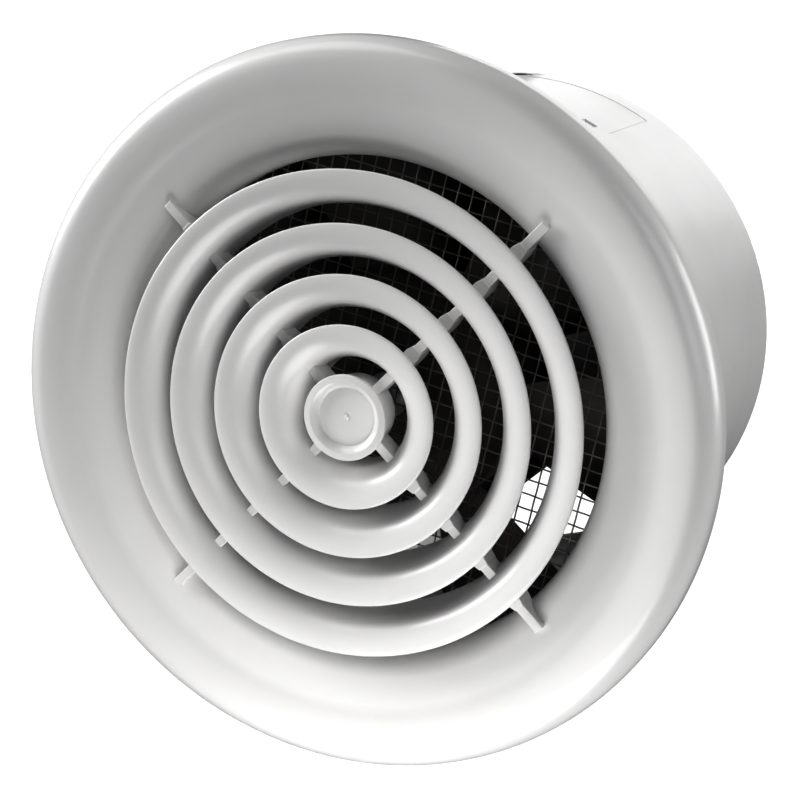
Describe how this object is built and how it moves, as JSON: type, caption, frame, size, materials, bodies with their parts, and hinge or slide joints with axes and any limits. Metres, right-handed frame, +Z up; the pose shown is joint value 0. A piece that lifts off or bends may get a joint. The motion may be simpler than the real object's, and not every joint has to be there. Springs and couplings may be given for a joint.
{
  "type": "bathroom extractor fan",
  "caption": "White in-line bathroom extractor fan with a round bell-mouth inlet, a removable concentric ring grille, an insect screen and a motor-driven axial impeller in a tubular casing.",
  "frame": {"origin": "fan axis at the back face of the mounting flange, which lies on the wall or ceiling plane", "axes": "+Y along the fan axis into the wall, the way the air flows; +Z up towards the crown with the terminal compartment; +X to the right seen from the room"},
  "size_m": [0.25, 0.1877, 0.25],
  "materials": {
    "white_abs": "semi-gloss injection moulded ABS",
    "dark_abs": "fine textured dark brown-grey moulding",
    "dark_polymer": "matt moulded thermoset",
    "steel_sheet": "bright drawn steel",
    "zinc_steel": "bright zinc plated steel",
    "bearing_steel": "ground and polished steel",
    "lamination": "varnished steel laminations",
    "copper_wire": "enamelled copper windings",
    "cast_rotor": "die-cast aluminium and steel laminations",
    "mesh_steel": "woven stainless wire",
    "seal_rubber": "closed-cell foam and moulded rubber",
    "brass_terminal": "nickel-free brass",
    "capacitor_case": "pale moulded case"
  },
  "bodies": {
    "casing": {"bell_mouth": "white_abs", "insect_screen": "mesh_steel", "screen_keeper": "dark_abs", "rim_gasket": "seal_rubber", "duct_casing": "white_abs", "motor_bracket": "dark_abs", "motor_front_shell": "steel_sheet", "motor_rear_shell": "steel_sheet", "stator_core": "lamination", "stator_coils": "copper_wire", "front_outer_race": "bearing_steel", "rear_outer_race": "bearing_steel", "motor_bolts": "zinc_steel", "motor_nuts": "zinc_steel", "bracket_screws": "zinc_steel", "preload_washer": "zinc_steel", "terminal_tray": "white_abs", "terminal_block": "dark_polymer", "terminal_screws": "brass_terminal", "run_capacitor": "capacitor_case", "capacitor_strap": "zinc_steel", "strap_screws": "zinc_steel", "cable_clamp": "dark_abs", "clamp_screws": "zinc_steel", "cable_grommet": "seal_rubber", "lead_conduit": "dark_abs", "tray_screws": "zinc_steel"},
    "rotor": {"impeller": "dark_abs", "impeller_washer": "zinc_steel", "impeller_nut": "zinc_steel", "motor_shaft": "bearing_steel", "rotor_core": "cast_rotor", "front_inner_race": "bearing_steel", "rear_inner_race": "bearing_steel"},
    "ball_cages": {"front_balls": "bearing_steel", "front_ball_cage": "dark_polymer", "rear_balls": "bearing_steel", "rear_ball_cage": "dark_polymer"},
    "grille": {"ring_grille": "white_abs"},
    "cover": {"terminal_cover": "white_abs"}
  },
  "joints": [
    {"name": "impeller_spin", "type": "hinge", "parent": "casing", "child": "rotor", "pos_m": [0, 0.04, 0], "axis": [0, 1, 0], "continuous": true},
    {"name": "ball_cage_spin", "type": "hinge", "parent": "casing", "child": "ball_cages", "pos_m": [0, 0.0975, 0], "axis": [0, 1, 0], "continuous": true},
    {"name": "grille_pull", "type": "slide", "parent": "casing", "child": "grille", "axis": [0, -1, 0], "range_m": [0, 0.03]},
    {"name": "cover_lift", "type": "slide", "parent": "casing", "child": "cover", "axis": [0, 0, 1], "range_m": [0, 0.03]}
  ],
  "couplings": [
    {"joint": "ball_cage_spin", "follows": "impeller_spin", "ratio": 0.3693}
  ]
}
